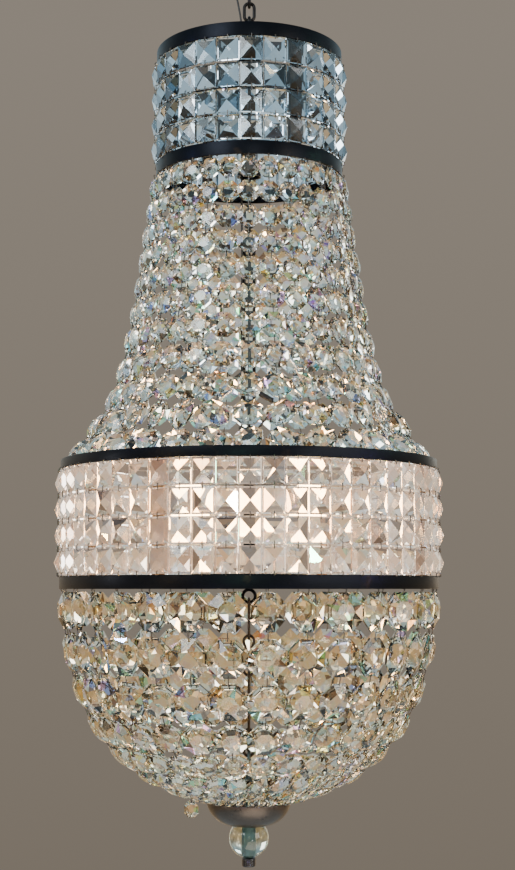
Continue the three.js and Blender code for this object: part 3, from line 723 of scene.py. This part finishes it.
def make_band(name, node):
    """A smooth rolled band in place of the faceted one."""
    radius = half_width(node)
    section = ring_profile(radius - BAND_THICKNESS, radius, low(node).z, high(node).z, 0.0004)
    shape = Shape().add(lathe(section, 224))
    make_piece(name, shape, BRONZE, "chandelier", [node], 35)


def soften(node, look, width=0.0004):
    """A CAD node that is shown as it is, with eased edges."""
    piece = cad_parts[node]
    piece.data.materials.clear()
    piece.data.materials.append(look)
    bevel = piece.modifiers.new("eased_edges", "BEVEL")
    bevel.width = width
    bevel.segments = 2
    bevel.limit_method = "ANGLE"
    bevel.angle_limit = math.radians(50)


def make_frames():
    for part in ("crown_top", "crown_bottom", "drum_top", "drum_bottom"):
        make_band(f"{part}_ring", f"{part}_band")
    for i in range(1, 5):
        soften(f"crown_strap_{i}", WARM_BRONZE)
        # The drum's straps carry painted lamp glow in their lighter bronze.
        soften(f"drum_strap_{i}", STRAP_BRONZE_PAINTED_GLOW)
    for node in ("crown_top_bar", "crown_bottom_bar", "drum_top_spider", "drum_bottom_spider"):
        soften(node, BRONZE)
    for node in ("crown_hanger_pin", "centre_tube"):
        soften(node, BRONZE, 0.0003)


# ---------------- stone walls

def make_wall(prefix, columns, rows, stone, look, painted_facet_shades, shift):
    """Rows of square stones between two bands, and the pins that join each to the next.
    The rows together stand for the CAD's two half walls."""
    nodes = [f"{prefix}_stones_1", f"{prefix}_stones_2"]
    radius = half_width(f"{prefix}_top_band") + STONE_SEAT
    bottom, top = high(f"{prefix}_bottom_band").z, low(f"{prefix}_top_band").z
    pitch = (top - bottom) / rows
    width = 2 * radius * math.tan(math.pi / columns) - STONE_GAP
    pins = Shape()
    for row in range(rows):
        shape = Shape()
        z = top - (row + 0.5) * pitch
        for column in range(columns):
            turn = FRONT + FULL_TURN * (column + shift) / columns
            lean = Matrix.Rotation(math.radians(rng.uniform(-STONE_LEAN, STONE_LEAN)), 4, "Y")
            yaw = Matrix.Rotation(math.radians(rng.uniform(-STONE_YAW, STONE_YAW)), 4, "Z")
            place = at(z=z, turn=turn, radius=radius) @ lean @ yaw
            shape.add(cut_square(width, stone), place, painted_facet_shades, 1)
            ends = [z + stone / 2 + (pitch - stone) + PIN_INSET, z + stone / 2 - PIN_INSET]
            if row == 0:
                ends[0] = top + 0.001
            outward = Vector((math.cos(turn), math.sin(turn), 0))
            line = outward * (radius + PIN_WIRE * 1.6)
            pins.add(pin(line + Vector((0, 0, ends[0])), line + Vector((0, 0, ends[1])), outward))
            if row == rows - 1:
                start = Vector((0, 0, z - stone / 2 + PIN_INSET))
                pins.add(pin(line + start, line + Vector((0, 0, bottom - 0.001)), outward))
        make_piece(f"{prefix}_stone_row_{row + 1}", shape, look, "chandelier", nodes)
    make_piece(f"{prefix}_stone_pins", pins, PIN_METAL, "chandelier", (), 60)


def make_walls():
    make_wall("crown", 26, 4, CROWN_STONE, CROWN_CRYSTAL, CROWN_PAINTED_FACETS, 0.12)
    make_wall("drum", 56, 4, DRUM_STONE, DRUM_CRYSTAL, DRUM_PAINTED_FACETS, 0.1)


# ---------------- bead strands

def neck_point(share):
    """Radius and height of the neck's outer face at a share of the way down."""
    start = CROWN_RADIUS + STONE_RISE
    flare = DRUM_RADIUS - BAND_THICKNESS / 2 - start - NECK_TAPER
    radius = start + NECK_TAPER * share + flare * share ** 6
    top, bottom = low("crown_bottom_band").z, high("drum_top_band").z
    return Vector((radius, top + (bottom - top) * share))


def basket_point(share):
    """Radius and height of the basket's outer face. Share is an angle's share of its turn."""
    rim = (1 - (DISH_RADIUS / DRUM_RADIUS) ** BASKET_POWER) ** (1 / BASKET_POWER)
    down = math.sin(share * math.pi / 2)
    radius = DRUM_RADIUS * (1 - (rim * down) ** BASKET_POWER) ** (1 / BASKET_POWER)
    return Vector((radius, DRUM_EDGE + (high("dish").z - DRUM_EDGE) * down))


def spaced_along(outline, sizes, steps=400):
    """Beads of these sizes spaced evenly down an outline: (middle, direction down) of each."""
    points = [outline(k / steps) for k in range(steps + 1)]
    lengths = [0.0]
    for a, b in zip(points, points[1:]):
        lengths.append(lengths[-1] + (b - a).length)
    gap = (lengths[-1] - sum(sizes)) / len(sizes)
    places = []
    travelled = gap / 2
    for size in sizes:
        goal = travelled + size / 2
        k = next(i for i, length in enumerate(lengths) if length >= goal)
        share = (goal - lengths[k - 1]) / (lengths[k] - lengths[k - 1])
        point = points[k - 1].lerp(points[k], share)
        places.append((point, (points[k] - points[k - 1]).normalized()))
        travelled += size + gap
    return places, points[0], points[-1]


def bead_thickness(width):
    return 0.0015 + 0.3 * width


def shingle(width, thickness, pitch):
    """How far beads turn about their strand so that neighbours lie over each other."""
    if pitch >= width:
        return 0.0
    overlap = (width - pitch) / width
    edge = thickness * min(1.0, 0.16 + overlap * 1.7)
    return math.asin(min(0.92, edge * 1.05 / pitch))


def make_strands(prefix, look, outline, sizes, shift):
    """One piece for each strand of beads, and one for the pins of each quarter."""
    places, first, last = spaced_along(outline, sizes)
    quarters = [Shape() for _ in range(4)]
    for strand in range(STRANDS):
        turn = FRONT + FULL_TURN * (strand + shift) / STRANDS
        quarter = strand * 4 // STRANDS
        around = Matrix.Rotation(turn, 4, "Z")
        shape = Shape()
        hook = around @ Vector((first.x - STRAND_INSET, 0, first.y))
        for size, (point, run) in zip(sizes, places):
            thickness = bead_thickness(size)
            down = Vector((run.x, 0, run.y))
            outward = Vector((-run.y, 0, run.x))
            basis = Matrix((outward, Vector((0, 1, 0)), -down)).transposed().to_4x4()
            swing = shingle(size, thickness, FULL_TURN * (point.x - thickness / 2) / STRANDS)
            inset = thickness / 2 * math.cos(swing) + BEAD_LEVER * size * math.sin(swing)
            centre = Vector((point.x, 0, point.y)) - outward * inset
            twist = TWIST_HELD if swing else TWIST_FREE
            yaw = Matrix.Rotation(swing + math.radians(rng.uniform(-twist, twist)), 4, "Z")
            tilt = Matrix.Rotation(math.radians(rng.uniform(-BEAD_TILT, BEAD_TILT)), 4, "Y")
            place = around @ Matrix.Translation(centre) @ basis @ yaw @ tilt
            shape.add(cut_bead(size, thickness), place, BEAD_PAINTED_FACETS, 2)
            reach = size / 2 - PIN_INSET
            upper = around @ (centre + outward * PIN_WIRE * 1.2 - down * reach)
            lower = around @ (centre + outward * PIN_WIRE * 1.2 + down * reach)
            quarters[quarter].add(pin(hook, upper, around @ outward))
            hook = lower
        end = around @ Vector((last.x - STRAND_INSET, 0, last.y))
        quarters[quarter].add(pin(hook, end, around @ Vector((1, 0, 0))))
        make_piece(f"{prefix}_strand_{strand + 1:02d}", shape, look, "chandelier",
                   [f"{prefix}_strands_{quarter + 1}"])
    for i, pins in enumerate(quarters):
        make_piece(f"{prefix}_pins_{i + 1}", pins, PIN_METAL, "chandelier", (), 60)


def make_beadwork():
    make_strands("neck", BEAD_CRYSTAL, neck_point, NECK_BEADS, 0)
    make_strands("basket", BASKET_CRYSTAL, basket_point, BASKET_BEADS, 0.5)


# ---------------- hub and lamps

def upright_ring(centre, radius, wire, turn, sides=12):
    """A ring of wire that stands on edge."""
    ring = [centre + Vector((radius * math.cos(turn) * math.sin(a),
                             radius * math.sin(turn) * math.sin(a),
                             radius * math.cos(a)))
            for a in (FULL_TURN * k / 32 for k in range(32))]
    return tube(ring, wire / 2, sides, closed=True)


def make_hub():
    bottom, top = low("hub_cup").z, high("hub_cup").z
    radius = half_width("hub_cup")
    height = top - bottom
    cup = [
        (0, bottom),
        (radius * 0.66, bottom),
        (radius * 0.74, bottom + height * 0.12),
        (radius, bottom + height * 0.3),
        (radius, bottom + height * 0.52),
        (radius * 0.93, bottom + height * 0.55),
        (radius, bottom + height * 0.58),
        (radius, top),
        (0, top),
    ]
    body = Shape().add(lathe(rounded(cup, 0.0012), 64))
    make_piece("hub_body", body, BRONZE, "chandelier", ["hub_cup"], 35)

    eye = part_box("hub_top_eye")
    ring_radius = (eye[1].y - eye[0].y - WIRE_EYE) / 2
    centre = Vector((0, 0, eye[1].z - ring_radius - WIRE_EYE / 2))
    stem = [Vector((0, 0, eye[0].z)), Vector((0, 0, centre.z - ring_radius))]
    shape = Shape().add(upright_ring(centre, ring_radius, WIRE_EYE, math.pi / 2))
    shape.add(tube(stem, WIRE_EYE, 20))
    make_piece("hub_eye", shape, BRONZE, "chandelier", ["hub_top_eye"], 40)

    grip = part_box("cord_grip")
    spot = middle("cord_grip")
    outer = (grip[1].x - grip[0].x) / 2
    bore = CORD_DIAMETER / 2 + 0.0001
    tall = grip[1].z - grip[0].z
    groove = outer * 0.86
    section = [(bore, grip[0].z)]
    for k in range(4):
        z = grip[0].z + tall * k / 4
        section += [(outer, z), (outer, z + tall * 0.17)]
        section += [(groove, z + tall * 0.2), (groove, z + tall * 0.24)]
    section += [(outer * 0.7, grip[1].z), (bore, grip[1].z)]
    gland = Shape().add(lathe(section, 24), at(spot.x, spot.y))
    make_piece("cord_gland", gland, BLACK_PLASTIC, "chandelier", ["cord_grip"], 40)


def make_splice():
    """A lead that bends out of the hub's top and ends in a slanting sleeve."""
    start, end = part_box("splice_sleeve")
    reach, rise = end.x - start.x, end.z - start.z
    lead = [
        (start.x + 0.0011, 0.003, start.z),
        (start.x + 0.10 * reach, 0.003, start.z + 0.14 * rise),
        (start.x + 0.42 * reach, 0.002, start.z + 0.36 * rise),
        (start.x + 0.80 * reach, 0.0, start.z + 0.55 * rise),
        (start.x + 0.86 * reach, 0.0, start.z + 0.70 * rise),
        (start.x + 0.72 * reach, 0.0, start.z + 0.80 * rise),
    ]
    shape = Shape().add(tube(smooth_path(lead, 8), 0.0011, 10))
    wide, narrow, length, bulge = 0.0028, 0.0022, 0.016, 0.0002
    sleeve = [
        (0, -bulge),
        (narrow, 0),
        (wide, 0.0006),
        (wide, length - 0.0006),
        (narrow, length),
        (0, length + bulge),
    ]
    tilt = Matrix.Rotation(math.radians(-60), 4, "Y")
    place = Matrix.Translation((lead[-1][0] + 0.0015, 0, lead[-1][2] - 0.001)) @ tilt
    shape.add(lathe(rounded(sleeve, 0.0004), 24), place)
    make_piece("splice_lead", shape, BLACK_PLASTIC, "chandelier", ["splice_sleeve"], 50)


def make_lamps():
    hub_low, hub_high = low("lamp_spider").z, high("lamp_spider").z
    arm_level = (hub_low + hub_high) / 2
    tube_radius = half_width("centre_tube")
    collar = ring_profile(tube_radius + 0.0003, tube_radius + 0.0078, hub_low, hub_high, 0.0012)
    spider = Shape().add(lathe(collar, 64))
    for i in range(1, 5):
        holder = middle(f"lamp_holder_{i}")
        circle = math.hypot(holder.x, holder.y)
        turn = math.atan2(holder.y, holder.x)
        seat = low(f"lamp_holder_{i}").z
        plate = [
            (0, seat - 0.0072),
            (0.0045, seat - 0.007),
            (0.0088, seat - 0.0018),
            (0.0092, seat - 0.0003),
            (0, seat - 0.0003),
        ]
        arm = [
            Vector((tube_radius + 0.004, 0, arm_level)),
            Vector((circle * 0.45, 0, arm_level - 0.0006)),
            Vector((circle * 0.82, 0, arm_level - 0.0004)),
            Vector((circle, 0, arm_level)),
        ]
        spider.add(tube(smooth_path(arm, 6), 0.0032, 14), at(turn=turn))
        spider.add(lathe(rounded(plate, 0.001), 40), at(holder.x, holder.y))

        outer = half_width(f"lamp_holder_{i}")
        top = high(f"lamp_holder_{i}").z
        base_low = low(f"bulb_{i}").z
        floor = base_low - 0.0003
        cup = [
            (0, seat),
            (outer, seat),
            (outer, top),
            (HOLDER_BORE, top),
            (HOLDER_BORE, floor),
            (0, floor),
        ]
        shape = Shape().add(lathe(rounded(cup, 0.0008), 48), at(holder.x, holder.y))
        make_piece(f"candle_tube_{i}", shape, IVORY, "chandelier",
                   [f"lamp_holder_{i}"], 40)
        make_bulb(i, holder, base_low, top + 0.0006)
    make_piece("lamp_arms", spider, BRONZE, "chandelier", ["lamp_spider"], 40)


def make_bulb(i, holder, base_low, glass_low):
    """A candle lamp: its screw base and its glass."""
    glass_top = high(f"bulb_{i}").z
    widest = half_width(f"bulb_{i}")
    rise = glass_top - glass_low
    root, crest = 0.0058, 0.0067
    threads = [(0, base_low)]
    turns = 6
    for k in range(turns):
        z = base_low + (glass_low - base_low) * k / turns
        threads += [(root, z), (crest, z + 0.0011), (crest, z + 0.002), (root, z + 0.0031)]
    threads += [(0.0062, glass_low), (0, glass_low)]
    shape = Shape().add(lathe(threads, 40), at(holder.x, holder.y))
    make_piece(f"bulb_base_{i}", shape, PIN_METAL, f"bulb_{i}", (), 40)

    envelope = [(0, glass_low + 0.0002), (0.0068, glass_low + 0.0002)]
    flame = ((0.05, 0.5), (0.12, 0.76), (0.2, 0.92), (0.3, 1.0), (0.42, 0.985), (0.55, 0.87),
             (0.68, 0.68), (0.8, 0.46), (0.9, 0.27), (0.965, 0.13))
    for share, width in flame:
        envelope.append((widest * width, glass_low + rise * share))
    envelope.append((0, glass_top))
    shape = Shape().add(lathe(rounded(envelope, 0.004), 48), at(holder.x, holder.y))
    make_piece(f"lamp_{i}", shape, LAMP_GLASS, f"bulb_{i}", [f"bulb_{i}"], 60)


# ---------------- stay and finial

def hook_wire(end, sign, loop, wire):
    """A closed pear-shaped eye of wire that starts at a height and runs up or down from it."""
    peak = end + sign * wire / 2
    bends = [(0.8, 0.5), (1.0, 1.3), (0.55, 2.6)]
    right = [(loop * x, 0, peak + sign * loop * z) for x, z in bends]
    left = [(-x, y, z) for x, y, z in reversed(right)]
    ring = [(0, 0, peak), *right, (0, 0, peak + sign * 4.2 * loop), *left]
    return tube(smooth_path(ring, 5, closed=True), wire / 2, 10, closed=True)


def make_stay_wires():
    """The hooks and long links that hang on the axis, each turned a quarter from the last."""
    loop = 0.0052
    inset = 4.0 * loop
    wire = WIRE_EYE * 0.85
    for k, node in enumerate(("stay_hook_1", "stay_link_1", "stay_link_2", "stay_hook_2")):
        bottom, top = low(node).z, high(node).z
        turn = math.pi / 2 if k % 2 == 0 else 0
        place = at(turn=turn)
        form = Shape()
        if node == "stay_link_2":
            link = tube(oval(2 * loop, top - bottom - wire), wire / 2, 10, closed=True)
            form.add(link, at(z=(top + bottom) / 2, turn=turn))
        else:
            form.add(hook_wire(top, -1, loop, wire), place)
            form.add(hook_wire(bottom, 1, loop, wire), place)
            if top - bottom > 2 * inset:
                shank = [Vector((0, 0, top - inset)), Vector((0, 0, bottom + inset))]
                form.add(tube(shank, wire * 0.55, 12), place)
        make_piece(f"{node}_wire", form, WARM_BRONZE, "chandelier", [node], 60)


def make_stay():
    """The eye, hooks, links and rod on the axis between the drum's lower band and the dish."""
    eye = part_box("hub_bottom_eye")
    radius = (eye[1].x - eye[0].x - WIRE_EYE) / 2
    centre = Vector((0, 0, eye[0].z + radius + WIRE_EYE / 2))
    shape = Shape().add(upright_ring(centre, radius, WIRE_EYE, 0))
    shape.add(tube([Vector((0, 0, eye[1].z)), Vector((0, 0, centre.z + radius))], WIRE_EYE / 2, 16))
    make_piece("basket_eye", shape, BRONZE, "chandelier", ["hub_bottom_eye"], 40)

    make_stay_wires()

    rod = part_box("finial_rod")
    ring_radius = (rod[1].y - rod[0].y - WIRE_EYE) / 2
    centre = Vector((0, 0, rod[1].z - ring_radius - WIRE_EYE / 2))
    crest = half_width("finial_rod")
    root = crest * 0.9
    pitch = 0.001
    threads = [(0, rod[0].z)]
    z = rod[0].z + 0.0004
    while z < centre.z - ring_radius - 0.002:
        threads += [(root, z), (crest, z + pitch / 2)]
        z += pitch
    threads += [(root, z), (0, centre.z - ring_radius + 0.0005)]
    shape = Shape().add(upright_ring(centre, ring_radius, WIRE_EYE, math.pi / 2))
    shape.add(lathe(threads, 32))
    make_piece("threaded_rod", shape, ROD_METAL, "chandelier", ["finial_rod"], 60)


def make_dish():
    rim, floor = high("dish").z, low("dish").z
    outer, inner = [], []
    steps = 14
    for k in range(steps + 1):
        a = k / steps * math.pi / 2
        radius = DISH_SEAT + (DISH_RADIUS - DISH_SEAT) * math.sin(a)
        z = rim - (rim - floor) * math.cos(a) ** DISH_FULLNESS
        outer.append((radius, z))
        inner.insert(0, (radius - DISH_WALL * math.sin(a), z + DISH_WALL * math.cos(a)))
    lip = [(DISH_RADIUS, rim + 0.0004), (DISH_RADIUS - DISH_WALL, rim + 0.0004)]
    shape = Shape().add(lathe(outer + lip + inner, 128))
    make_piece("dish_shell", shape, DISH_BRONZE, "chandelier", ["dish"], 50)


def make_finial():
    """The glass ball with its ground bore, and the round nut under it."""
    centre = middle("finial_ball")
    radius = half_width("finial_ball")
    bore = half_width("finial_rod") + 0.0003
    reach = math.acos(bore / radius)
    steps = 48
    profile = []
    for k in range(steps + 1):
        a = -reach + 2 * reach * k / steps
        profile.append((radius * math.cos(a), centre.z + radius * math.sin(a)))
    ball = Shape().add(lathe(profile, 96))
    make_piece("crystal_ball", ball, BALL_CRYSTAL, "ball", ["finial_ball"], 40)

    mouth = radius * math.sin(reach) - 0.0004
    section = ring_profile(bore, bore + 0.0003, centre.z - mouth, centre.z + mouth, 0.0001)
    lining = Shape().add(lathe(section, 48))
    make_piece("ball_bore", lining, GROUND_GLASS, "ball", (), 40)

    bottom, top = low("finial_nut").z, high("finial_nut").z
    radius = half_width("finial_nut")
    nut = [
        (0, bottom),
        (radius * 0.9, bottom),
        (radius, bottom + 0.0012),
        (radius, top - 0.0006),
        (radius * 0.94, top),
        (bore, top),
        (bore, bottom + 0.002),
        (0, bottom + 0.002),
    ]
    shape = Shape().add(lathe(rounded(nut, 0.0005), 64))
    make_piece("round_nut", shape, BLACK_LACQUER, "nut", ["finial_nut"], 40)


def make_loose_bead():
    """One bead that has come off the dish and hangs by its pin."""
    bottom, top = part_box("loose_bead")
    spot = middle("loose_bead")
    turn = math.atan2(spot.y, spot.x)
    centre = Vector((spot.x, spot.y, bottom.z + LOOSE_BEAD / 2))
    place = Matrix.Translation(centre) @ Matrix.Rotation(turn + 0.2, 4, "Z")
    shape = Shape().add(cut_bead(LOOSE_BEAD, bead_thickness(LOOSE_BEAD)), place, BEAD_PAINTED_FACETS, 2)
    make_piece("loose_bead_crystal", shape, BASKET_CRYSTAL, "hanging_bead", ["loose_bead"])
    outward = Vector((math.cos(turn), math.sin(turn), 0))
    hole = centre + Vector((0, 0, LOOSE_BEAD / 2 - PIN_INSET))
    wire = Shape().add(pin(Vector((spot.x, spot.y, top.z)), hole, outward))
    make_piece("loose_bead_pin", wire, PIN_METAL, "hanging_bead", (), 60)


# ---------------- stage and light

def make_stage():
    under = FLOOR_LEVEL - FLOOR_DEPTH
    slab = [(0, FLOOR_LEVEL), (FLOOR_RADIUS, FLOOR_LEVEL), (FLOOR_RADIUS, under), (0, under)]
    corners, faces = lathe(slab, 128)
    mesh = bpy.data.meshes.new("floor")
    mesh.from_pydata(corners, [], faces)
    mesh.materials.append(floor_look())
    floor = bpy.data.objects.new("floor", mesh)
    bpy.context.scene.collection.objects.link(floor)


def make_light(name, position, size, power, colour, mirrored=True):
    """A square light that faces the object. The camera never sees it directly."""
    light = bpy.data.lights.new(name, "AREA")
    light.size = size
    light.energy = power
    light.color = colour
    lamp = bpy.data.objects.new(name, light)
    lamp.location = position
    target = Vector((0, 0, DRUM_EDGE + 0.1))
    lamp.rotation_euler = (target - Vector(position)).to_track_quat("-Z", "Y").to_euler()
    lamp.visible_camera = False
    lamp.visible_glossy = mirrored
    bpy.context.scene.collection.objects.link(lamp)


def make_lights():
    """Five soft lights, and a curved row of small ones that give the cut stones their sparks."""
    daylight, white, warm = (0.86, 0.94, 1.0), (1.0, 0.98, 0.95), (1.0, 0.82, 0.62)
    make_light("key", (-1.5, -1.9, 0.7), 1.1, 34, daylight)
    make_light("fill", (2.0, -1.5, -0.2), 1.3, 20, white)
    make_light("rim", (1.3, 1.9, 0.6), 0.9, 16, daylight, mirrored=False)
    make_light("back", (-1.6, 1.7, -0.3), 0.9, 16, white, mirrored=False)
    make_light("under", (0.2, -0.6, -1.40), 0.8, 6, warm)
    fire = [white, (0.35, 0.45, 1.0), white, (1.0, 0.62, 0.2), white, (0.55, 0.4, 1.0), (0.4, 1.0, 0.6)]
    reach = 2.1
    for k in range(14):
        angle = FRONT + math.radians(-84 + 13 * k)
        height = DRUM_EDGE + 0.15 + 0.8 * math.sin(2.1 * k)
        spot = (reach * math.cos(angle), reach * math.sin(angle), height)
        make_light(f"spark_{k + 1}", spot, 0.05, 3.0, fire[k % len(fire)])


def make_world():
    """A plain taupe for rays from the camera, a little brighter above. Every other ray sees it
    mottled, warm below and cool above, as a stand-in for the room that the glass would show."""
    world = bpy.data.worlds.new("studio")
    bpy.context.scene.world = world
    world.use_nodes = True
    sky = Nodes(world.node_tree, "Generated")
    apart = sky.node("ShaderNodeSeparateXYZ")
    sky.link(sky.place(), apart.inputs["Vector"])
    rise = sky.span(apart.outputs["Z"], -0.35, 0.35)
    plain = sky.ramp(rise, (0.0, (0.175, 0.148, 0.115)), (1.0, (0.27, 0.235, 0.195)))
    shade = sky.ramp(sky.noise(3.4, 4), (0.30, (0.03, 0.03, 0.03)), (0.38, (0.30, 0.30, 0.30)),
                     (0.60, (0.48, 0.48, 0.48)), (0.66, (0.9, 0.9, 0.9)), (0.70, (2.2, 2.2, 2.2)))
    warmth = sky.ramp(rise, (0.30, (1.34, 0.93, 0.50)), (0.55, (1.14, 0.97, 0.76)),
                      (0.78, (1.66, 1.80, 1.72)), (1.0, (1.05, 1.46, 1.68)))
    mottled = sky.mix(1.0, shade, warmth, "MULTIPLY")
    seen = sky.node("ShaderNodeLightPath").outputs["Is Camera Ray"]
    background = sky.tree.nodes["Background"]
    sky.link(sky.mix(seen, mottled, plain), background.inputs["Color"])


make_camera()
make_cord()
make_rose()
make_chain()
make_frames()
make_walls()
make_beadwork()
make_hub()
make_splice()
make_lamps()
make_stay()
make_dish()
make_finial()
make_loose_bead()
make_stage()
make_lights()
make_world()
